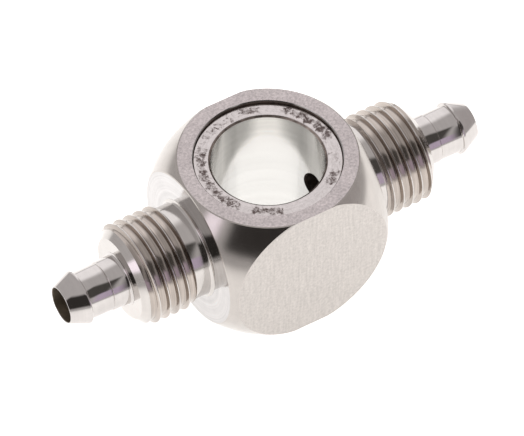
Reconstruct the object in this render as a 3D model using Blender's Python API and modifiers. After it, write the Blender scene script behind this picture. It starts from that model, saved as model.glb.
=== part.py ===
"""Double banjo ring: a bored block with a threaded, barbed hose connector on each side.

The origin is where the bolt bore's axis crosses the hose axis.
+X runs along the hose axis, +Z along the bolt bore.
"""
import math

import bpy
from mathutils import Matrix

MM = 0.001

# Driving dimensions, in metres
SIDES = 64                        # facets round the big circles
SMALL_SIDES = 40                  # facets round the connectors and spigots
GAP = 0.3 * MM                    # clearance kept between neighbouring pieces

BLOCK_X = 16.7 * MM               # across the two spot-faces
BLOCK_Y = 16.0 * MM               # across the spanner flats
BLOCK_Z = 15.2 * MM               # between the two ring faces
BALL_RADIUS = 11.22 * MM          # the turned, spherical corners
BORE_RADIUS = 5.2 * MM            # clears an M10 or G1/8 hollow bolt
SEAT_RADIUS = 6.8 * MM            # counterbore for the seal ring
SEAT_SINK = 0.36 * MM             # ring face down to the seal's top
SEAL_THICKNESS = 0.8 * MM
SEAL_INNER_RADIUS = 5.35 * MM

PASSAGE_RADIUS = 1.7 * MM         # the fluid passage, from tip to bolt bore
SOCKET_RADIUS = 3.4 * MM          # where a connector is let into the block
SOCKET_DEPTH = 1.8 * MM

SHANK_RADIUS = 4.5 * MM           # thread relief, also the thread's root
SHANK_LENGTH = 2.0 * MM
THREAD_RADIUS = 4.97 * MM         # crest of M10x1
THREAD_PITCH = 1.0 * MM
THREAD_TURNS = 5
THREAD_LAND = 0.15 * MM           # width of a crest
NOSE_CHAMFER = 0.95 * MM          # on the thread's free end
SPIGOT_SOCKET_DEPTH = 4.0 * MM

NECK_RADIUS = 2.3 * MM            # under the hose
ROOT_RADIUS = 2.4 * MM            # at the thread's end face
ROOT_LENGTH = 1.8 * MM
BARB_RADIUS = 2.57 * MM
BARB_SHOULDER = 19.65 * MM        # distance from the bolt bore's axis
BARB_LAND = 0.25 * MM
TIP = 21.57 * MM
TIP_RADIUS = 1.85 * MM

# Worked out from the driving dimensions
SPOT_FACE = BLOCK_X / 2
RING_FACE = BLOCK_Z / 2
SEAT_DEPTH = SEAT_SINK + SEAL_THICKNESS + GAP
SHANK_START = SPOT_FACE + GAP
THREAD_START = SPOT_FACE + SHANK_LENGTH
THREAD_END = THREAD_START + THREAD_TURNS * THREAD_PITCH + THREAD_LAND
STEEL = (0.62, 0.61, 0.60, 1.0)


def clear_scene():
    for thing in list(bpy.data.objects):
        bpy.data.objects.remove(thing, do_unlink=True)


def new_collection(name):
    group = bpy.data.collections.new(name)
    bpy.context.scene.collection.children.link(group)
    return group


def finish_material(name, colour, roughness):
    """A metal with one colour and roughness."""
    material = bpy.data.materials.new(name)
    material.use_nodes = True
    shader = material.node_tree.nodes["Principled BSDF"]
    shader.inputs["Base Color"].default_value = colour
    shader.inputs["Metallic"].default_value = 1.0
    shader.inputs["Roughness"].default_value = roughness
    return material


def dress(piece, colour, roughness):
    piece.data.materials.append(finish_material(piece.name, colour, roughness))
    piece.data.shade_smooth()
    piece.data.set_sharp_from_angle(angle=math.radians(30))


def add_object(name, mesh, group):
    piece = bpy.data.objects.new(name, mesh)
    group.objects.link(piece)
    return piece


def take_primitive(name, group):
    """Name the primitive just added, apply its turn and size, and move it to a collection."""
    piece = bpy.context.active_object
    piece.name = name
    piece.data.transform(piece.matrix_basis)
    piece.matrix_basis = Matrix.Identity(4)
    for holder in list(piece.users_collection):
        holder.objects.unlink(piece)
    group.objects.link(piece)
    return piece


def cutter_cylinder(name, radius, start, end, axis, sides):
    """A hidden cylinder along X or Z between two places on that axis."""
    middle = (start + end) / 2
    along_x = axis == "X"
    bpy.ops.mesh.primitive_cylinder_add(
        vertices=sides,
        radius=radius,
        depth=end - start,
        location=(middle, 0, 0) if along_x else (0, 0, middle),
        rotation=(0, math.pi / 2 if along_x else 0, 0))
    cutter = take_primitive(name, cutters)
    cutter.hide_render = True
    cutter.display_type = "WIRE"
    return cutter


def boolean(piece, other, operation):
    step = piece.modifiers.new(f"{operation.title()} {other.name}", "BOOLEAN")
    step.operation = operation
    step.object = other
    step.solver = "EXACT"


def turned(name, outline, sides):
    """A closed outline of (radius, height) points, turned once about Z."""
    mesh = bpy.data.meshes.new(name)
    points = [(radius, 0, height) for radius, height in outline]
    edges = [(i, (i + 1) % len(points)) for i in range(len(points))]
    mesh.from_pydata(points, edges, [])
    piece = add_object(name, mesh, parts)
    screw = piece.modifiers.new("Turn", "SCREW")
    screw.axis = "Z"
    screw.angle = math.tau
    screw.steps = sides
    screw.render_steps = sides
    screw.use_merge_vertices = True
    screw.merge_threshold = 0.00001
    screw.use_smooth_shade = True
    return piece


def make_ring_body():
    """The ball cut flat on six sides, then bored, counterbored, socketed and cross-drilled."""
    bpy.ops.mesh.primitive_uv_sphere_add(
        segments=SIDES, ring_count=SIDES // 2, radius=BALL_RADIUS, rotation=(0, math.pi / 2, 0))
    body = take_primitive("ring_body", parts)

    bpy.ops.mesh.primitive_cube_add(size=1, scale=(BLOCK_X, BLOCK_Y, BLOCK_Z))
    block = take_primitive("flats", cutters)
    block.hide_render = True
    block.display_type = "WIRE"
    boolean(body, block, "INTERSECT")

    over = 2 * MM                 # how far a cutter runs past the face it enters
    boolean(body, cutter_cylinder(
        "bolt_bore", BORE_RADIUS, -RING_FACE - over, RING_FACE + over, "Z", SIDES), "DIFFERENCE")
    for name, side in (("upper_seat", 1), ("lower_seat", -1)):
        floor = side * (RING_FACE - SEAT_DEPTH)
        mouth = side * (RING_FACE + over)
        boolean(body, cutter_cylinder(
            name, SEAT_RADIUS, min(floor, mouth), max(floor, mouth), "Z", SIDES), "DIFFERENCE")
    for name, side in (("left_socket", -1), ("right_socket", 1)):
        floor = side * (SPOT_FACE - SOCKET_DEPTH)
        mouth = side * (SPOT_FACE + over)
        boolean(body, cutter_cylinder(
            name, SOCKET_RADIUS, min(floor, mouth), max(floor, mouth), "X", SMALL_SIDES), "DIFFERENCE")
    boolean(body, cutter_cylinder(
        "cross_hole", PASSAGE_RADIUS, -BALL_RADIUS, BALL_RADIUS, "X", SMALL_SIDES), "DIFFERENCE")
    dress(body, STEEL, 0.34)


def thread_outline():
    """The full crests, from the free end back to the relief, as (radius, height)."""
    flank = (THREAD_PITCH - 2 * THREAD_LAND) / 2
    half_land = THREAD_LAND / 2
    points = []
    for turn in range(1, THREAD_TURNS):
        crest = THREAD_END - turn * THREAD_PITCH
        points += [
            (SHANK_RADIUS, crest + half_land + flank),
            (THREAD_RADIUS, crest + half_land),
            (THREAD_RADIUS, crest - half_land),
            (SHANK_RADIUS, crest - half_land - flank),
        ]
    return points


def connector_outline():
    """Threaded stub: outside from the end face inwards, then the bore outwards."""
    nose_radius = THREAD_RADIUS - NOSE_CHAMFER
    tail_radius = SOCKET_RADIUS - GAP
    tail_start = SPOT_FACE - SOCKET_DEPTH + GAP
    socket_radius = ROOT_RADIUS + GAP
    socket_floor = THREAD_END - SPIGOT_SOCKET_DEPTH
    return [
        (nose_radius, THREAD_END),
        (SHANK_RADIUS, THREAD_END - (SHANK_RADIUS - nose_radius)),
        *thread_outline(),
        (SHANK_RADIUS, SHANK_START),
        (tail_radius, SHANK_START),
        (tail_radius, tail_start),
        (PASSAGE_RADIUS, tail_start),
        (PASSAGE_RADIUS, socket_floor),
        (socket_radius, socket_floor),
        (socket_radius, THREAD_END),
    ]


def spigot_outline():
    """Barbed hose tube: outside from the tip inwards, then the passage outwards."""
    return [
        (TIP_RADIUS, TIP),
        (BARB_RADIUS, BARB_SHOULDER + BARB_LAND),
        (BARB_RADIUS, BARB_SHOULDER),
        (NECK_RADIUS, BARB_SHOULDER),
        (NECK_RADIUS, THREAD_END + ROOT_LENGTH),
        (ROOT_RADIUS, THREAD_END + ROOT_LENGTH),
        (ROOT_RADIUS, THREAD_END - SPIGOT_SOCKET_DEPTH + GAP),
        (PASSAGE_RADIUS, THREAD_END - SPIGOT_SOCKET_DEPTH + GAP),
        (PASSAGE_RADIUS, TIP),
    ]


def make_hose_side(side, sign):
    """One connector and its spigot, turned from Z to point along the hose axis."""
    for kind, outline, roughness in (
            ("connector", connector_outline(), 0.18),
            ("spigot", spigot_outline(), 0.12)):
        piece = turned(f"{side}_{kind}", outline, SMALL_SIDES)
        piece.rotation_euler = (0, sign * math.pi / 2, 0)
        dress(piece, STEEL, roughness)


def make_seal_ring(name, sign):
    """A flat ring that lies in one counterbore, sunk below the block's face."""
    outer = SEAT_RADIUS - GAP
    top = RING_FACE - SEAT_SINK
    bottom = top - SEAL_THICKNESS
    outline = [
        (SEAL_INNER_RADIUS, top),
        (outer, top),
        (outer, bottom),
        (SEAL_INNER_RADIUS, bottom),
    ]
    ring = turned(name, outline, SIDES)
    ring.rotation_euler = (0 if sign > 0 else math.pi, 0, 0)
    dress(ring, STEEL, 0.26)


clear_scene()
parts = new_collection("double_banjo_ring")
cutters = new_collection("cutters")

make_ring_body()
for side_name, direction in (("left", -1), ("right", 1)):
    make_hose_side(side_name, direction)
for ring_name, direction in (("upper_seal_ring", 1), ("lower_seal_ring", -1)):
    make_seal_ring(ring_name, direction)
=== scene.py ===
"""Looks of a double banjo ring: a bored block with a threaded, barbed hose connector on each side."""

import math

import bpy
from bpy.props import FloatProperty, FloatVectorProperty, IntProperty, PointerProperty
from mathutils import Matrix, Vector


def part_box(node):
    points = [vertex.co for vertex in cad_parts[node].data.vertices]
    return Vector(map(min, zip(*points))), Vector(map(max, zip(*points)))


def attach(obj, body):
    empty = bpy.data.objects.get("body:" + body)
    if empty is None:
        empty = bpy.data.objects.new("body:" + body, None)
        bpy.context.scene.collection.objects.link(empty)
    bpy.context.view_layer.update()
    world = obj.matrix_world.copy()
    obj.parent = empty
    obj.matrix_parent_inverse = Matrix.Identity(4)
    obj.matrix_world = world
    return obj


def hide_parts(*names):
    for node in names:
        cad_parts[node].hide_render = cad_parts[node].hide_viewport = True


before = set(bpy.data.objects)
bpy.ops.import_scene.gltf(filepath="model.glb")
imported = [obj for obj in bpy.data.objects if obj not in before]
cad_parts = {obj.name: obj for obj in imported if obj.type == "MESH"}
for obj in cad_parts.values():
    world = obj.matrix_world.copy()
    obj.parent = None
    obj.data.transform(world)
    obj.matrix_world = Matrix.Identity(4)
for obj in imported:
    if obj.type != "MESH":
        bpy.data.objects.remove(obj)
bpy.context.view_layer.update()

bl_info = {
    "name": "Double Banjo Ring",
    "version": (1, 0, 0),
    "blender": (4, 5, 0),
    "location": "View3D > Sidebar > Banjo Ring",
    "description": "Builds a stainless banjo ring with two hose connectors, on a studio table",
    "category": "Object",
}

MM = 0.001

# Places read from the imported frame
BLOCK_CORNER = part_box("ring_body")[1]
SPOT_FACE = BLOCK_CORNER.x                    # where the connectors stand on the block
FLAT_FACE = BLOCK_CORNER.y                    # spanner flats
RING_FACE = BLOCK_CORNER.z                    # faces that the bolt clamps
TAIL_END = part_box("right_connector")[0].x     # inner end of a connector
THREAD_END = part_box("right_connector")[1].x   # its free end face
THREAD_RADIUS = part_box("right_connector")[1].z
SPIGOT_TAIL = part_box("right_spigot")[0].x
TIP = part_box("right_spigot")[1].x
BARB_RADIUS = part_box("right_spigot")[1].z
SEAL_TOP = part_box("upper_seal_ring")[1].z
SEAL_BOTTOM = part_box("upper_seal_ring")[0].z

HAIR = 0.01 * MM                              # clearance between two seated pieces
OVER = 2 * MM                                 # how far a cutter runs past a face


# ---------------------------------------------------------------- settings

def length(name, default_mm, description, low_mm=0.0):
    return FloatProperty(
        name=name, description=description, default=default_mm * MM, min=low_mm * MM,
        unit="LENGTH", precision=6)


def angle(name, degrees, description):
    return FloatProperty(
        name=name, description=description, default=math.radians(degrees), unit="ROTATION")


def linear(hex_colour):
    """An sRGB hex colour as linear values."""
    channels = [int(hex_colour[i:i + 2], 16) / 255 for i in (1, 3, 5)]
    return tuple(c / 12.92 if c <= 0.04045 else ((c + 0.055) / 1.055) ** 2.4 for c in channels)


def colour(name, hex_colour, description):
    return FloatVectorProperty(
        name=name, description=description, default=linear(hex_colour), size=3,
        min=0, max=1, subtype="COLOR")


class BlockSettings(bpy.types.PropertyGroup):
    ball_radius: length("Ball Radius", 11.22, "Turned, spherical corners of the block")
    bore_radius: length("Bore Radius", 5.2, "Hole for the hollow bolt")
    lip_radius: length("Lip Radius", 5.34, "Thin lip round the bore, inside a seal ring")
    seat_radius: length("Seat Radius", 6.78, "Counterbore that holds a seal ring")
    socket_radius: length("Socket Radius", 3.4, "Hole that a connector is let into")
    passage_radius: length("Passage Radius", 1.7, "Fluid passage")
    edge_break: length("Edge Break", 0.07, "Chamfer left where two faces meet")
    ball_sides: IntProperty(
        name="Ball Sides", description="Facets round the ball", default=160, min=32)
    turned_colour: colour("Turned Steel", "#c1bbb6", "Lathe-turned corners")
    bore_colour: colour("Bored Steel", "#e9e7e4", "Bolt bore")
    # Painted shade: the bore is painted darker on its sides, staying bright only round this direction and
    # the opposite one
    painted_shade_turn: angle("Painted Shade Turn", 61, "Direction of the bright middle of the bore, round Z from +X")
    faced_colour: colour("Faced Steel", "#cfcccb", "Spot faces round the connectors")
    # Painted shade: a dark colour for the seat walls, seat floors and bore lips, in place of their shade
    # and dark reflections
    edge_shade_colour: colour("Edge Painted Shade", "#9a8e86", "Seat walls and bore edges, dark with old oil")
    blasted_colour: colour("Blasted Steel", "#ddd4d3", "Bead-blasted ring faces")
    milled_colour: colour("Milled Steel", "#cdc7c2", "Linished spanner flats")


class ConnectorSettings(bpy.types.PropertyGroup):
    pitch: length("Pitch", 1.0, "Advance of the thread in one turn")
    relief: length("Relief", 1.75, "From the block to the start of the thread")
    root_radius: length("Root Radius", 4.57, "Radius at the bottom of the thread")
    crest_width: length("Crest Width", 0.1, "Flat on top of the thread, before its edges are rounded")
    root_width: length("Root Width", 0.6, "Flat at the bottom of the thread")
    first_groove: length("First Groove", 1.5, "From the block to the groove's middle, on top")
    left_start: angle("Left Start", 6, "Turn of the left thread's start against the right one's")
    shank_radius: length("Shank Radius", 4.49, "Relief between the thread and the block")
    nose_radius: length("Nose Radius", 4.0, "Free end face, inside its chamfer")
    sides: IntProperty(name="Sides", description="Facets round the connector", default=128, min=24)
    steel_colour: colour("Connector Steel", "#cdc8c4", "Bright turned crests, shank and nose")
    # Painted shade: the grooves get a darker colour than the crests, in place of the shade down in them
    groove_shade_colour: colour("Thread Grooves", "#bab0a8", "Cut grooves, a little darkened")


class SpigotSettings(bpy.types.PropertyGroup):
    neck_radius: length("Neck Radius", 2.3, "Under the hose")
    root_radius: length("Root Radius", 2.38, "Slightly thicker stretch at the end face")
    root_length: length("Root Length", 1.85, "Length of that stretch")
    barb_length: length("Barb Length", 1.92, "From the sharp shoulder to the tip")
    barb_land: length("Barb Land", 0.22, "Short cylinder behind the shoulder")
    tip_radius: length("Tip Radius", 1.84, "Outside of the rim")
    sides: IntProperty(name="Sides", description="Facets round the spigot", default=128, min=24)
    steel_colour: colour("Spigot Steel", "#cdc8c5", "Smooth turned steel under the hose")
    drilled_colour: colour("Drilled Steel", "#8f8474", "Rough drilled passage")


class SealSettings(bpy.types.PropertyGroup):
    outer_radius: length("Outer Radius", 6.74, "Edge that lies in the seat")
    inner_radius: length("Inner Radius", 5.35, "Edge round the lip of the bore")
    edge_break: length("Edge Break", 0.05, "Chamfer on its edges")
    steel_colour: colour("Seat Steel", "#cdc6c4", "Faced, bright ring")
    scuff_colour: colour("Scuffs", "#6a5d5a", "Dark marks pressed into the ring")


class StageSettings(bpy.types.PropertyGroup):
    azimuth: angle("Azimuth", -31.51, "Camera's direction round the object, from the front")
    elevation: angle("Elevation", 49.98, "Camera's height over the horizon")
    roll: angle("Roll", 0.71, "Camera's turn about its own axis")
    distance: length("Distance", 501.3, "Camera to the middle of the object")
    slide_right: length("Slide Right", -0.483, "Camera's shift along its own horizontal", -50)
    slide_up: length("Slide Up", -0.572, "Camera's shift along its own vertical", -50)
    lens: FloatProperty(
        name="Lens", description="Focal length on a 36 mm sensor", default=378.7, min=1, unit="CAMERA")
    table_glow: FloatProperty(
        name="Table Glow", description="Light that the table itself gives", default=1.08, min=0)
    table_shift: length("Table Shift", 35, "How far to the right the glow is centred")
    table_reach: length("Table Reach", 150, "Where the table's own light has faded")
    table_colour: colour("Table", "#f4f4f3", "Plain pale table")


def settings(part):
    return getattr(bpy.context.scene, f"banjo_{part}")


# ---------------------------------------------------------------- modelling helpers

def deselect_all():
    bpy.ops.object.select_all(action="DESELECT")


def select_only(piece):
    deselect_all()
    piece.select_set(True)
    bpy.context.view_layer.objects.active = piece


def name_new(name):
    """Name the primitive just added and apply its place and turn."""
    piece = bpy.context.active_object
    piece.name = name
    piece.data.name = name
    bpy.ops.object.transform_apply(location=True, rotation=True, scale=True)
    return piece


def spun(name, outline, sides, axis="X"):
    """A closed outline of (place along the axis, radius) points, spun once round the axis."""
    deselect_all()
    bpy.ops.mesh.primitive_circle_add(vertices=len(outline), radius=1, fill_type="NOTHING")
    piece = name_new(name)
    for vertex, (place, radius) in zip(piece.data.vertices, outline):
        vertex.co = (place, 0, radius) if axis == "X" else (radius, 0, place)
    bpy.ops.object.mode_set(mode="EDIT")
    bpy.ops.mesh.select_all(action="SELECT")
    bpy.ops.mesh.spin(
        steps=sides, angle=math.tau, center=(0, 0, 0), axis=(1, 0, 0) if axis == "X" else (0, 0, 1))
    bpy.ops.mesh.select_all(action="SELECT")
    bpy.ops.mesh.remove_doubles(threshold=HAIR / 20)
    bpy.ops.mesh.dissolve_degenerate(threshold=HAIR / 20)
    bpy.ops.mesh.normals_make_consistent(inside=False)
    bpy.ops.object.mode_set(mode="OBJECT")
    return piece


def combine(piece, other, operation):
    """Apply a Boolean with another piece, then remove that piece."""
    select_only(piece)
    step = piece.modifiers.new(operation.title(), "BOOLEAN")
    step.operation = operation
    step.object = other
    step.solver = "EXACT"
    bpy.ops.object.modifier_apply(modifier=step.name)
    bpy.data.objects.remove(other, do_unlink=True)


def smooth(piece, degrees):
    select_only(piece)
    bpy.ops.object.shade_smooth_by_angle(angle=math.radians(degrees))


def turned_copy(piece, name, own_turn=0.0):
    """The same piece for the other side, turned half round Z so its thread keeps its hand."""
    select_only(piece)
    bpy.ops.object.duplicate(linked=False)
    twin = bpy.context.active_object
    twin.name = name
    twin.data.name = name
    twin.data.transform(Matrix.Rotation(math.pi, 4, "Z") @ Matrix.Rotation(own_turn, 4, "X"))
    return twin


def fillet(centre_place, centre_radius, size, from_degrees, to_degrees, steps=5):
    """Points along an arc in an outline, angles measured from the axis direction."""
    points = []
    for step in range(steps + 1):
        turn = math.radians(from_degrees + (to_degrees - from_degrees) * step / steps)
        points.append((centre_place + size * math.cos(turn), centre_radius + size * math.sin(turn)))
    return points


def hand_over(piece, node):
    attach(piece, "root")
    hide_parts(node)


# ---------------------------------------------------------------- materials

def add_node(tree, kind, inputs=None, **values):
    """Add a node, set its values, and fill or link its inputs."""
    node = tree.nodes.new(kind)
    for name, value in values.items():
        setattr(node, name, value)
    for name, value in (inputs or {}).items():
        if isinstance(value, bpy.types.NodeSocket):
            tree.links.new(value, node.inputs[name])
        else:
            node.inputs[name].default_value = value
    return node


def steel(name, roughness):
    """A stainless steel to add a pattern to: its tree, shader and Object coordinates."""
    material = bpy.data.materials.new(name)
    material.use_nodes = True
    tree = material.node_tree
    shader = tree.nodes["Principled BSDF"]
    shader.inputs["Metallic"].default_value = 1.0
    shader.inputs["Roughness"].default_value = roughness
    place = add_node(tree, "ShaderNodeTexCoord").outputs["Object"]
    return material, tree, shader, place


def rgba(values):
    return (*values, 1.0)


def shade(values, factor):
    return rgba(channel * factor for channel in values)


def tint_by(tree, pattern, dark, light, low=0.35, high=0.65):
    """Colour that runs from dark to light with a pattern."""
    ramp = add_node(tree, "ShaderNodeMapRange", {
        "Value": pattern, "From Min": low, "From Max": high})
    return add_node(
        tree, "ShaderNodeMix", {"Factor": ramp.outputs["Result"], "A": dark, "B": light},
        data_type="RGBA").outputs["Result"]


def grain(tree, place, per_millimetre, detail=2.0, rough=0.6, stretch=(1, 1, 1), **more):
    """Noise with so many grains in a millimetre, drawn out where its stretch is under 1."""
    scaled = add_node(tree, "ShaderNodeMapping", {
        "Vector": place, "Scale": [per_millimetre / MM * part for part in stretch]})
    return add_node(tree, "ShaderNodeTexNoise", {
        "Vector": scaled.outputs["Vector"], "Scale": 1.0, "Detail": detail, "Roughness": rough, **more,
    }).outputs["Fac"]


def lay_on(tree, shader, fine, patches, relief, depth_mm, strength=0.3):
    """Colour a steel with two tints multiplied, and press a relief of some depth into it."""
    both = add_node(
        tree, "ShaderNodeMix", {"Factor": 1.0, "A": fine, "B": patches},
        data_type="RGBA", blend_type="MULTIPLY")
    bump = add_node(tree, "ShaderNodeBump", {
        "Height": relief, "Strength": strength, "Distance": depth_mm * MM})
    tree.links.new(both.outputs["Result"], shader.inputs["Base Color"])
    tree.links.new(bump.outputs["Normal"], shader.inputs["Normal"])


WHITE = (1.0, 1.0, 1.0, 1.0)


def dimmed(amount):
    return (1 - amount, 1 - amount, 1 - amount, 1.0)


def blasted_stainless():
    """Bead-blasted stainless: small overlapping dents that give a dull, even, slightly rosy grey."""
    block = settings("block")
    material, tree, shader, place = steel("bead_blasted_stainless", 0.5)
    dents = grain(tree, place, 4.2, 4.0, 0.7)
    clouds = grain(tree, place, 0.6)
    fine = tint_by(
        tree, dents, shade(block.blasted_colour, 0.75), shade(block.blasted_colour, 1.12), 0.36, 0.64)
    lay_on(tree, shader, fine, tint_by(tree, clouds, dimmed(0.1), WHITE), dents, 0.02, 0.5)
    return material


def milled_stainless():
    """Linished stainless flat: fine scratches along Z and a light stipple soften what it mirrors."""
    block = settings("block")
    material, tree, shader, place = steel("linished_stainless", 0.42)
    lines = grain(tree, place, 5, 3.0, 0.7, (1.0, 1.0, 0.08))
    stipple = grain(tree, place, 3.5, 4.0, 0.75)
    fine = tint_by(tree, lines, shade(block.milled_colour, 0.9), shade(block.milled_colour, 1.04))
    lay_on(tree, shader, fine, tint_by(tree, stipple, dimmed(0.18), WHITE, 0.36, 0.6), stipple, 0.012)
    return material


def lathe_rings(tree, place, axis, lines_per_mm):
    """Fine unequal rings about X, or about the bolt bore's Z, by the place along or away from the axis."""
    stretch = {"along X": (1, 0.02, 0.02), "along Z": (0.02, 0.02, 1)}
    if axis in stretch:
        return grain(tree, place, lines_per_mm, stretch=stretch[axis])
    flat = (0, 1, 1) if axis == "round X" else (1, 1, 0)
    across = add_node(tree, "ShaderNodeVectorMath", {0: place, 1: flat}, operation="MULTIPLY")
    away = add_node(tree, "ShaderNodeVectorMath", {0: across.outputs["Vector"]}, operation="LENGTH")
    vector = add_node(tree, "ShaderNodeCombineXYZ", {"X": away.outputs["Value"]}).outputs["Vector"]
    return grain(tree, vector, lines_per_mm)


def turned_stainless(name, values, roughness, axis, lines_per_mm, depth_mm, contrast=0.05):
    """Lathe-turned stainless: rings left by the tool's feed draw the reflections out across them."""
    material, tree, shader, place = steel(name, roughness)
    rings = lathe_rings(tree, place, axis, lines_per_mm)
    fine = tint_by(tree, rings, shade(values, 1 - contrast), shade(values, 1.0))
    patches = tint_by(tree, grain(tree, place, 0.7, 3.0), dimmed(0.06), WHITE)
    lay_on(tree, shader, fine, patches, rings, depth_mm)
    return material


def bored_stainless():
    """Reamed bore: fine rings, bright in the middle of two sides, with painted shade darkening the bore
    between them.
    """
    block = settings("block")
    waver = 1.2 * MM                          # how far streaks shift the edges of the painted shade
    material, tree, shader, place = steel("reamed_stainless", 0.15)
    rings = lathe_rings(tree, place, "along Z", 1.6)
    fine = tint_by(tree, rings, shade(block.bore_colour, 0.93), shade(block.bore_colour, 1.0), 0.36, 0.58)
    streaks = grain(tree, place, 2.6, 3.0, 0.7, (1, 1, 0.05))
    turned = add_node(tree, "ShaderNodeMapping", {
        "Vector": place, "Rotation": (0, 0, -block.painted_shade_turn)})
    across = add_node(tree, "ShaderNodeSeparateXYZ", {"Vector": turned.outputs["Vector"]})
    shifted = add_node(tree, "ShaderNodeMath", {
        0: streaks, 1: waver, 2: across.outputs["Y"]}, operation="MULTIPLY_ADD")
    centred = add_node(tree, "ShaderNodeMath", {
        0: shifted.outputs["Value"], 1: waver / 2}, operation="SUBTRACT")
    beside = add_node(tree, "ShaderNodeMath", {0: centred.outputs["Value"]}, operation="ABSOLUTE")
    # Painted shade: away from the two bright middles the bore's colour is painted up to half as dark
    side_shade = tint_by(
        tree, beside.outputs["Value"], WHITE, dimmed(0.5),
        low=block.bore_radius * 0.45, high=block.bore_radius * 0.95)
    lay_on(tree, shader, fine, side_shade, rings, 0.004)
    return material


def shaded_edge_stainless():
    """Seat walls, seat floors and bore lips with painted shade: a dark steel colour in place of their
    shade and dark reflections.
    """
    block = settings("block")
    material, tree, shader, place = steel("edge_painted_shade_stainless", 0.42)
    patches = grain(tree, place, 1.2, 3.0)
    # Painted shade, mottled in patches, in place of the shade and dark reflections on these edges
    edge_painted_shade = tint_by(tree, patches, shade(block.edge_shade_colour, 0.6), shade(block.edge_shade_colour, 1.5))
    tree.links.new(edge_painted_shade, shader.inputs["Base Color"])
    return material


def drilled_stainless():
    """Drilled passage: rough brownish wall that scatters the little light it gets."""
    spigot = settings("spigot")
    material, tree, shader, place = steel("drilled_stainless", 0.55)
    rings = lathe_rings(tree, place, "along X", 2)
    fine = tint_by(tree, rings, shade(spigot.drilled_colour, 0.8), shade(spigot.drilled_colour, 1.05))
    tree.links.new(fine, shader.inputs["Base Color"])
    bump = add_node(tree, "ShaderNodeBump", {
        "Height": rings, "Strength": 0.3, "Distance": 0.02 * MM})
    tree.links.new(bump.outputs["Normal"], shader.inputs["Normal"])
    return material


# Arcs scuffed by the bolt's washer: from and to in degrees round Z from +X, and how strongly
SCUFF_ARCS = (
    (-57, -43, 0.95),
    (-37, -15, 0.5),
    (-4, 45, 1.0),
    (68, 84, 0.75),
    (90, 130, 0.5),
    (136, 214, 0.9),
    (226, 250, 0.95),
)
CLEAN_SIDE = -80                              # degrees, where no arc lies


def scuff_strength(tree, worn):
    """1 where the bolt's washer bore hardest on a seat ring, 0 where it didn't touch it."""
    seal = settings("seal")
    flat = add_node(tree, "ShaderNodeVectorMath", {0: worn, 1: (1, 1, 0)}, operation="MULTIPLY")
    away = add_node(tree, "ShaderNodeVectorMath", {0: flat.outputs["Vector"]}, operation="LENGTH")
    middle = (seal.outer_radius + seal.inner_radius) / 2 + 0.03 * MM
    offset = add_node(tree, "ShaderNodeMath", {
        0: away.outputs["Value"], 1: middle}, operation="SUBTRACT")
    beside = add_node(tree, "ShaderNodeMath", {0: offset.outputs["Value"]}, operation="ABSOLUTE")
    band = add_node(tree, "ShaderNodeMapRange", {
        "Value": beside.outputs["Value"], "From Min": 0.2 * MM, "From Max": 0.7 * MM,
        "To Min": 1.0, "To Max": 0.0}, interpolation_type="SMOOTHSTEP")
    centred = add_node(tree, "ShaderNodeMapping", {
        "Vector": worn, "Rotation": (0, 0, math.radians(-180 - CLEAN_SIDE))})
    sweep = add_node(
        tree, "ShaderNodeTexGradient", {"Vector": centred.outputs["Vector"]}, gradient_type="RADIAL")
    arcs = add_node(tree, "ShaderNodeValToRGB", {"Fac": sweep.outputs["Fac"]})
    stops = arcs.color_ramp.elements
    stops[1].color = stops[0].color
    for first, last, strongest in SCUFF_ARCS:
        for turn, amount in ((first - 3, 0.1), (first, strongest), (last, strongest), (last + 3, 0.1)):
            stop = stops.new((turn - CLEAN_SIDE) / 360)
            stop.color = (amount, amount, amount, 1)
    return add_node(tree, "ShaderNodeMath", {
        0: band.outputs["Result"], 1: arcs.outputs["Color"]}, operation="MULTIPLY").outputs["Value"]


def scuffed_seat_stainless():
    """Faced stainless that has been clamped: bright, with dark scuffs and pits in broken arcs."""
    seal = settings("seal")
    stray = 1.2 * MM                          # how far a scuff strays from its arc
    material, tree, shader, place = steel("scuffed_seat_stainless", 0.2)
    rings = lathe_rings(tree, place, "round Z", 4)
    clean = tint_by(tree, rings, shade(seal.steel_colour, 0.9), shade(seal.steel_colour, 1.0))
    ragged = add_node(tree, "ShaderNodeTexNoise", {"Vector": place, "Scale": 1.1 / MM, "Detail": 3.0})
    centred = add_node(tree, "ShaderNodeVectorMath", {
        0: ragged.outputs["Color"], 1: (0.5, 0.5, 0.5)}, operation="SUBTRACT")
    shift = add_node(tree, "ShaderNodeVectorMath", {
        0: centred.outputs["Vector"], 1: (stray, stray, 0)}, operation="MULTIPLY")
    worn = add_node(tree, "ShaderNodeVectorMath", {
        0: place, 1: shift.outputs["Vector"]}, operation="ADD")
    mottle = grain(tree, place, 2.1, 6.0, 0.8, Distortion=0.6)
    level = add_node(tree, "ShaderNodeMath", {
        0: scuff_strength(tree, worn.outputs["Vector"]), 1: 0.2, 2: mottle}, operation="MULTIPLY_ADD")
    scuff = add_node(tree, "ShaderNodeMapRange", {
        "Value": level.outputs["Value"], "From Min": 0.6, "From Max": 0.74})
    mixed = add_node(tree, "ShaderNodeMix", {
        "Factor": scuff.outputs["Result"], "A": clean, "B": rgba(seal.scuff_colour)}, data_type="RGBA")
    rough = add_node(tree, "ShaderNodeMapRange", {
        "Value": scuff.outputs["Result"], "To Min": 0.17, "To Max": 0.5})
    tree.links.new(rough.outputs["Result"], shader.inputs["Roughness"])
    specks = tint_by(tree, grain(tree, place, 3, 3.0), dimmed(0.12), WHITE)
    lay_on(tree, shader, mixed.outputs["Result"], specks, mottle, 0.01)
    return material


# ---------------------------------------------------------------- the block

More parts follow.
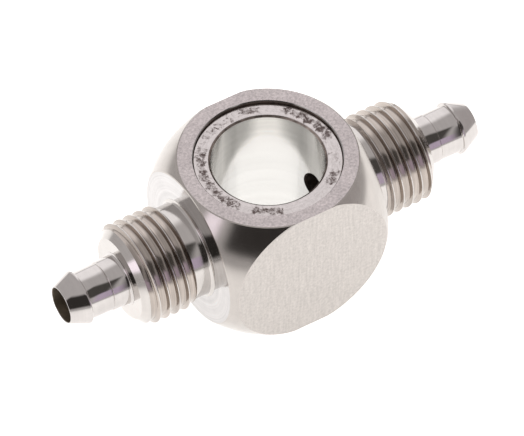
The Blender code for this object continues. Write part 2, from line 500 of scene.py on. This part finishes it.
def flat_disc(name, face, ball_radius, edge_break, axis):
    """A disc as thick as the block, whose edge cones leave a small chamfer on the ball."""
    circle = math.sqrt(ball_radius ** 2 - face ** 2)
    slope = math.tan(math.atan2(circle, face) / 2)
    reach = ball_radius * 1.1
    start = circle - edge_break
    drop = (reach - start) * slope
    outline = [
        (face, 0),
        (face, start),
        (face - drop, reach),
        (drop - face, reach),
        (-face, start),
        (-face, 0),
    ]
    disc = spun(name, outline, settings("block").ball_sides, "X" if axis == "X" else "Z")
    if axis == "Y":
        disc.data.transform(Matrix.Rotation(math.pi / 2, 4, "X"))
    return disc


def bore_cutter(block):
    """Bolt bore, its chamfered lips and both seats, as one turned cutter."""
    brk = block.edge_break
    floor = SEAL_BOTTOM - HAIR
    lip_top = SEAL_TOP - HAIR
    half = [
        (RING_FACE + OVER, 0),
        (RING_FACE + OVER, block.seat_radius + brk + OVER),
        (RING_FACE - brk, block.seat_radius),
        (floor, block.seat_radius),
        (floor, block.lip_radius),
        (lip_top, block.lip_radius),
        (lip_top - (block.lip_radius - block.bore_radius), block.bore_radius),
    ]
    return spun("bore_cutter", half + [(-z, r) for z, r in reversed(half)], block.ball_sides, "Z")


def side_cutter(block):
    """Cross hole through the block and the two sockets for the connectors."""
    floor = TAIL_END - HAIR
    half = [
        (SPOT_FACE + OVER, 0),
        (SPOT_FACE + OVER, block.socket_radius),
        (floor, block.socket_radius),
        (floor, block.passage_radius),
    ]
    return spun("side_cutter", half + [(-x, r) for x, r in reversed(half)], 96, "X")


def paint_block(piece, block):
    """Give each surface of the block the finish that its machining leaves, with painted shade on the seat
    walls, seat floors, bore lips and the bore's sides.
    """
    finishes = [
        turned_stainless("turned_stainless_ball", block.turned_colour, 0.17, "along X", 2, 0.002),
        blasted_stainless(),
        milled_stainless(),
        turned_stainless("faced_stainless", block.faced_colour, 0.1, "round X", 2.0, 0.001, 0.15),
        bored_stainless(),
        shaded_edge_stainless(),
    ]
    ball, ring_face, flat, spot_face, bore, shaded_edge = range(len(finishes))
    for finish in finishes:
        piece.data.materials.append(finish)
    level = 0.999                             # cosine that tells a true flat from a curve
    for face in piece.data.polygons:
        centre = face.center
        normal = face.normal
        away = math.hypot(centre.x, centre.y)
        faces_axis = normal.xy.dot(centre.xy) < HAIR * 0.1
        inside = faces_axis and away < block.seat_radius + block.edge_break * 1.5
        if abs(normal.z) > level and abs(centre.z) > RING_FACE - HAIR:
            face.material_index = ring_face
        elif abs(normal.y) > level and abs(centre.y) > FLAT_FACE - HAIR:
            face.material_index = flat
        elif abs(normal.x) > level and abs(centre.x) > SPOT_FACE - HAIR:
            face.material_index = spot_face
        # Seat walls, seat floors and the bore's chamfered lips take the painted shade colour
        elif inside and block.bore_radius + HAIR < away < block.seat_radius + HAIR:
            face.material_index = shaded_edge
        elif inside:
            face.material_index = bore
        else:
            face.material_index = ball


class BanjoBlock(bpy.types.Operator):
    """Model the bored block between the connectors"""
    bl_idname = "banjo.block"
    bl_label = "Ring Block"

    def execute(self, context):
        block = settings("block")
        deselect_all()
        bpy.ops.mesh.primitive_uv_sphere_add(
            segments=block.ball_sides, ring_count=block.ball_sides // 2, radius=block.ball_radius,
            rotation=(0, math.pi / 2, 0))
        piece = name_new("ring_block")
        for axis, face in (("X", SPOT_FACE), ("Y", FLAT_FACE), ("Z", RING_FACE)):
            disc = flat_disc(f"flats_{axis}", face, block.ball_radius, block.edge_break, axis)
            combine(piece, disc, "INTERSECT")
        combine(piece, bore_cutter(block), "DIFFERENCE")
        combine(piece, side_cutter(block), "DIFFERENCE")
        smooth(piece, 15)
        paint_block(piece, block)
        hand_over(piece, "ring_body")
        return {"FINISHED"}


# ---------------------------------------------------------------- the connectors

def connector_blank(connector, spigot_radius, passage_radius, tail_radius):
    """Turned blank: nose chamfer, thread diameter, relief, root fillet, tail and both bores."""
    nose = connector.nose_radius
    crest = THREAD_RADIUS
    shank = connector.shank_radius
    thread_start = SPOT_FACE + connector.relief
    run_out = 0.25 * MM
    rounding = 0.3 * MM
    brk = 0.05 * MM
    socket_floor = SPIGOT_TAIL - HAIR
    root = fillet(SPOT_FACE + HAIR + rounding, shank + rounding, rounding, 270, 180)
    return [
        (THREAD_END, spigot_radius + brk + HAIR),
        (THREAD_END, nose - brk),
        (THREAD_END - brk, nose),
        (THREAD_END - (crest - nose) + brk, crest - brk * 0.6),
        (THREAD_END - (crest - nose) - brk, crest),
        (thread_start + run_out, crest),
        (thread_start, shank + brk),
        (thread_start - brk, shank),
        *root,
        (SPOT_FACE + HAIR, tail_radius),
        (TAIL_END + HAIR, tail_radius),
        (TAIL_END + HAIR, passage_radius),
        (socket_floor, passage_radius),
        (socket_floor, spigot_radius + HAIR),
        (THREAD_END - brk, spigot_radius + HAIR),
    ]


def thread_groove(connector):
    """One closed groove section screwed along X, as the threading tool cuts it, crests rounded off."""
    crest = THREAD_RADIUS
    half_root = connector.root_width / 2
    half_top = (connector.pitch - connector.crest_width) / 2
    flank = math.atan2(half_top - half_root, crest - connector.root_radius)
    lean = math.tan((math.pi / 2 - flank) / 2)    # from a sharp corner to where its rounding starts
    tool = 0.1 * MM                           # nose of the tool, which rounds the groove's corners
    edge = 0.04 * MM                          # rounding of the crest
    half_nose = half_root - tool * lean
    right = fillet(half_nose, connector.root_radius + tool, tool, -90, -math.degrees(flank), 3)
    crest_side = half_top + edge * lean
    right += fillet(crest_side, crest - edge, edge, 180 - math.degrees(flank), 97, 3)
    # Past the crest the section opens a little, so the cut leaves no sliver
    right += [
        (crest_side + 0.008 * MM, crest + 0.006 * MM),
        (crest_side + 0.025 * MM, crest + 0.15 * MM),
    ]
    section = [(-place, radius) for place, radius in reversed(right)] + right
    turns = 7
    start = SPOT_FACE + connector.first_groove - connector.pitch
    deselect_all()
    bpy.ops.mesh.primitive_circle_add(vertices=len(section), radius=1, fill_type="NOTHING")
    groove = name_new("thread_groove")
    for vertex, (place, radius) in zip(groove.data.vertices, section):
        vertex.co = (start + place, 0, radius)
    screw = groove.modifiers.new("Screw", "SCREW")
    screw.axis = "X"
    screw.angle = math.tau
    screw.screw_offset = connector.pitch
    screw.iterations = turns
    screw.steps = connector.sides
    screw.render_steps = connector.sides
    bpy.ops.object.modifier_apply(modifier=screw.name)
    bpy.ops.object.mode_set(mode="EDIT")
    bpy.ops.mesh.select_all(action="SELECT")
    bpy.ops.mesh.fill_holes(sides=0)
    bpy.ops.mesh.select_all(action="SELECT")
    bpy.ops.mesh.normals_make_consistent(inside=False)
    bpy.ops.object.mode_set(mode="OBJECT")
    return groove


def paint_connector(piece, connector):
    """Bright crests, shank and nose, and painted shade: a little darker colour down in the cut grooves."""
    piece.data.materials.append(turned_stainless(
        "bright_turned_stainless", connector.steel_colour, 0.1, "along X", 3, 0.001))
    # Painted shade: a darker steel colour for the faces down in the grooves
    piece.data.materials.append(turned_stainless(
        "cut_thread_painted_shade_stainless", connector.groove_shade_colour, 0.17, "along X", 6, 0.002, 0.2))
    for face in piece.data.polygons:
        away = math.hypot(face.center.y, face.center.z)
        along = face.center.x - SPOT_FACE - connector.relief
        outside = min(THREAD_RADIUS, THREAD_END - face.center.x + connector.nose_radius)
        in_groove = connector.root_radius - HAIR < away < outside - 0.05 * MM
        if in_groove and along > 0 and abs(face.normal.x) < 0.98:
            face.material_index = 1


class BanjoConnectors(bpy.types.Operator):
    """Turn the threaded connectors and cut their threads"""
    bl_idname = "banjo.connectors"
    bl_label = "Threaded Connectors"

    def execute(self, context):
        connector = settings("connector")
        block = settings("block")
        outline = connector_blank(
            connector, settings("spigot").root_radius, block.passage_radius, block.socket_radius - HAIR)
        right = spun("right_threaded_connector", outline, connector.sides)
        combine(right, thread_groove(connector), "DIFFERENCE")
        smooth(right, 24)
        paint_connector(right, connector)
        left = turned_copy(right, "left_threaded_connector", connector.left_start)
        hand_over(right, "right_connector")
        hand_over(left, "left_connector")
        return {"FINISHED"}


# ---------------------------------------------------------------- the spigots

def spigot_outline(spigot, passage_radius):
    """Rounded rim, barb cone, land and sharp shoulder, neck, witness line, root and tail."""
    shoulder = TIP - spigot.barb_length
    land = shoulder + spigot.barb_land
    neck = spigot.neck_radius
    root = spigot.root_radius
    step = THREAD_END + spigot.root_length
    rim = (spigot.tip_radius - passage_radius) / 2
    brk = 0.05 * MM
    flare = 0.22 * MM
    return [
        *fillet(TIP - rim, passage_radius + rim, rim, -90, 62, 8),
        (land + brk, BARB_RADIUS - 0.02 * MM),
        (land - brk, BARB_RADIUS),
        (shoulder + brk, BARB_RADIUS),
        (shoulder, BARB_RADIUS - brk),
        (shoulder, neck + flare / 2),
        *fillet(shoulder - flare / 2, neck + flare / 2, flare / 2, 0, -90, 3)[1:],
        (step + 0.06 * MM, neck),
        (step + 0.03 * MM, neck - 0.03 * MM),
        (step - 0.03 * MM, neck - 0.03 * MM),
        (step - 0.09 * MM, root),
        *fillet(THREAD_END + HAIR + flare, root + flare, flare, 270, 180),
        (THREAD_END + HAIR, root),
        (SPIGOT_TAIL, root),
        (SPIGOT_TAIL, passage_radius),
    ]


class BanjoSpigots(bpy.types.Operator):
    """Turn the barbed hose spigots"""
    bl_idname = "banjo.spigots"
    bl_label = "Hose Spigots"

    def execute(self, context):
        spigot = settings("spigot")
        passage_radius = settings("block").passage_radius
        outline = spigot_outline(spigot, passage_radius)
        right = spun("right_hose_spigot", outline, spigot.sides)
        smooth(right, 30)
        right.data.materials.append(turned_stainless(
            "smooth_turned_stainless", spigot.steel_colour, 0.08, "along X", 2, 0.001))
        right.data.materials.append(drilled_stainless())
        for face in right.data.polygons:
            if math.hypot(face.center.y, face.center.z) < passage_radius + HAIR / 2:
                face.material_index = 1
        left = turned_copy(right, "left_hose_spigot")
        hand_over(right, "right_spigot")
        hand_over(left, "left_spigot")
        return {"FINISHED"}


# ---------------------------------------------------------------- the seal rings

class BanjoSeals(bpy.types.Operator):
    """Turn the flat rings that lie in the seats"""
    bl_idname = "banjo.seals"
    bl_label = "Seal Rings"

    def execute(self, context):
        seal = settings("seal")
        brk = seal.edge_break
        outline = [
            (SEAL_TOP, seal.inner_radius + brk),
            (SEAL_TOP, seal.outer_radius - brk),
            (SEAL_TOP - brk, seal.outer_radius),
            (SEAL_BOTTOM + brk, seal.outer_radius),
            (SEAL_BOTTOM, seal.outer_radius - brk),
            (SEAL_BOTTOM, seal.inner_radius + brk),
            (SEAL_BOTTOM + brk, seal.inner_radius),
            (SEAL_TOP - brk, seal.inner_radius),
        ]
        upper = spun("upper_seat_ring", outline, settings("block").ball_sides, "Z")
        smooth(upper, 30)
        upper.data.materials.append(scuffed_seat_stainless())
        select_only(upper)
        bpy.ops.object.duplicate(linked=False)
        lower = bpy.context.active_object
        lower.name = "lower_seat_ring"
        lower.data.name = lower.name
        lower.data.transform(Matrix.Rotation(math.pi, 4, "X"))
        hand_over(upper, "upper_seal_ring")
        hand_over(lower, "lower_seal_ring")
        return {"FINISHED"}


# ---------------------------------------------------------------- the stage

# Soft cards round the tent: azimuth from and to, elevation from and to, softness, all in degrees,
# then the grey or tinted light that each one gives. Azimuth 0 is the front (-Y) and 90 is +X.
TENT_LIGHT = (0.62, 0.6, 0.6)
TENT_CARDS = (
    ("back_wall", 134, 172, -40, 56, 24, (1.3, 1.28, 1.3)),
    ("left_strip", -97, -80, 8, 31, 8, (1.62, 1.5, 1.66)),
    ("right_card", 34, 118, 2, 36, 10, (0.56, 0.53, 0.53)),
    ("high_right", 20, 58, 22, 58, 8, (0.09, 0.085, 0.08)),
    ("front_card", 12, 30, 1, 25, 6, (0.64, 0.54, 0.69)),
    ("dark_room", -70, 12, 4, 52, 10, (0.045, 0.041, 0.039)),
)


def tent_world():
    """A light tent round the object; the background itself stays plain and pale."""
    world = bpy.data.worlds.new("light_tent")
    world.use_nodes = True
    tree = world.node_tree
    tree.nodes.clear()
    direction = add_node(tree, "ShaderNodeTexCoord").outputs["Generated"]
    parts = add_node(tree, "ShaderNodeSeparateXYZ", {"Vector": direction}).outputs
    front = add_node(tree, "ShaderNodeMath", {0: parts["Y"], 1: -1.0}, operation="MULTIPLY")
    around = add_node(tree, "ShaderNodeMath", {
        0: parts["X"], 1: front.outputs["Value"]}, operation="ARCTAN2")
    azimuth = add_node(tree, "ShaderNodeMath", {0: around.outputs["Value"]}, operation="DEGREES")
    lift = add_node(tree, "ShaderNodeMath", {0: parts["Z"]}, operation="ARCSINE")
    elevation = add_node(tree, "ShaderNodeMath", {0: lift.outputs["Value"]}, operation="DEGREES")
    light = rgba(TENT_LIGHT)
    for _, left, right, low, high, softness, glow in TENT_CARDS:
        edges = [
            add_node(tree, "ShaderNodeMapRange", {
                "Value": turn.outputs["Value"],
                "From Min": edge - softness / 2, "From Max": edge + softness / 2,
            }, interpolation_type="SMOOTHSTEP").outputs["Result"]
            for turn, edge in ((azimuth, left), (azimuth, right), (elevation, low), (elevation, high))
        ]
        across = add_node(tree, "ShaderNodeMath", {0: edges[0], 1: edges[1]}, operation="SUBTRACT")
        upright = add_node(tree, "ShaderNodeMath", {0: edges[2], 1: edges[3]}, operation="SUBTRACT")
        inside = add_node(tree, "ShaderNodeMath", {
            0: across.outputs["Value"], 1: upright.outputs["Value"]}, operation="MULTIPLY")
        light = add_node(
            tree, "ShaderNodeMix", {"Factor": inside.outputs["Value"], "A": light, "B": rgba(glow)},
            data_type="RGBA").outputs["Result"]
    tent = add_node(tree, "ShaderNodeBackground", {"Color": light, "Strength": 1.0})
    pale = add_node(tree, "ShaderNodeBackground", {"Color": (1, 1, 1, 1), "Strength": 1.2})
    seen = add_node(tree, "ShaderNodeLightPath").outputs["Is Camera Ray"]
    mixed = add_node(tree, "ShaderNodeMixShader", {0: seen, 1: tent.outputs[0], 2: pale.outputs[0]})
    add_node(tree, "ShaderNodeOutputWorld", {"Surface": mixed.outputs[0]})
    bpy.context.scene.world = world


def table(stage):
    """Plain pale table that glows round the object, so it holds next to no shadow."""
    deselect_all()
    bpy.ops.mesh.primitive_plane_add(size=4, location=(0, 0, -RING_FACE))
    top = name_new("studio_table")
    material = bpy.data.materials.new("pale_table")
    material.use_nodes = True
    tree = material.node_tree
    shader = tree.nodes["Principled BSDF"]
    shader.inputs["Base Color"].default_value = rgba(stage.table_colour)
    shader.inputs["Roughness"].default_value = 0.9
    shader.inputs["Emission Color"].default_value = rgba(stage.table_colour)
    place = add_node(tree, "ShaderNodeTexCoord").outputs["Object"]
    away = add_node(tree, "ShaderNodeVectorMath", {
        0: place, 1: (stage.table_shift, 0, 0)}, operation="DISTANCE")
    glow = add_node(tree, "ShaderNodeMapRange", {
        "Value": away.outputs["Value"],
        "From Min": stage.table_reach * 0.35, "From Max": stage.table_reach,
        "To Min": stage.table_glow, "To Max": 0.1}, interpolation_type="SMOOTHSTEP")
    tree.links.new(glow.outputs["Result"], shader.inputs["Emission Strength"])
    top.data.materials.append(material)


def camera(stage):
    """A long lens at the stage's azimuth, elevation and roll."""
    back = Vector((
        math.sin(stage.azimuth) * math.cos(stage.elevation),
        -math.cos(stage.azimuth) * math.cos(stage.elevation),
        math.sin(stage.elevation)))
    level = Vector((math.cos(stage.azimuth), math.sin(stage.azimuth), 0))
    upright = back.cross(level)
    right = level * math.cos(stage.roll) + upright * math.sin(stage.roll)
    up = upright * math.cos(stage.roll) - level * math.sin(stage.roll)
    place = right * stage.slide_right + up * stage.slide_up + back * stage.distance
    bpy.ops.object.camera_add()
    eye = bpy.context.active_object
    eye.name = "studio_camera"
    eye.matrix_world = Matrix.Translation(place) @ Matrix((right, up, back)).transposed().to_4x4()
    eye.data.lens = stage.lens
    eye.data.sensor_width = 36
    eye.data.clip_start = 0.01
    eye.data.clip_end = 10
    bpy.context.scene.camera = eye


class BanjoStage(bpy.types.Operator):
    """Set up the table, the light tent and the camera"""
    bl_idname = "banjo.stage"
    bl_label = "Studio"

    def execute(self, context):
        stage = settings("stage")
        table(stage)
        tent_world()
        camera(stage)
        context.scene.view_settings.view_transform = "Standard"
        return {"FINISHED"}


# ---------------------------------------------------------------- the panel

class BanjoPanel(bpy.types.Panel):
    """Buttons and settings for the banjo ring"""
    bl_idname = "VIEW3D_PT_banjo_ring"
    bl_label = "Double Banjo Ring"
    bl_space_type = "VIEW_3D"
    bl_region_type = "UI"
    bl_category = "Banjo Ring"

    def draw(self, context):
        for operator, part in STEPS:
            box = self.layout.box()
            box.operator(operator.bl_idname)
            group = settings(part)
            for name in group.__annotations__:
                box.prop(group, name)


GROUPS = {
    "block": BlockSettings,
    "connector": ConnectorSettings,
    "spigot": SpigotSettings,
    "seal": SealSettings,
    "stage": StageSettings,
}
STEPS = (
    (BanjoStage, "stage"),
    (BanjoBlock, "block"),
    (BanjoConnectors, "connector"),
    (BanjoSpigots, "spigot"),
    (BanjoSeals, "seal"),
)


def register():
    for part, group in GROUPS.items():
        bpy.utils.register_class(group)
        setattr(bpy.types.Scene, f"banjo_{part}", PointerProperty(type=group))
    for operator, _ in STEPS:
        bpy.utils.register_class(operator)
    bpy.utils.register_class(BanjoPanel)


def unregister():
    bpy.utils.unregister_class(BanjoPanel)
    for operator, _ in reversed(STEPS):
        bpy.utils.unregister_class(operator)
    for part, group in reversed(GROUPS.items()):
        delattr(bpy.types.Scene, f"banjo_{part}")
        bpy.utils.unregister_class(group)


def main():
    register()
    bpy.ops.banjo.stage()
    bpy.ops.banjo.block()
    bpy.ops.banjo.connectors()
    bpy.ops.banjo.spigots()
    bpy.ops.banjo.seals()


if __name__ == "__main__":
    main()
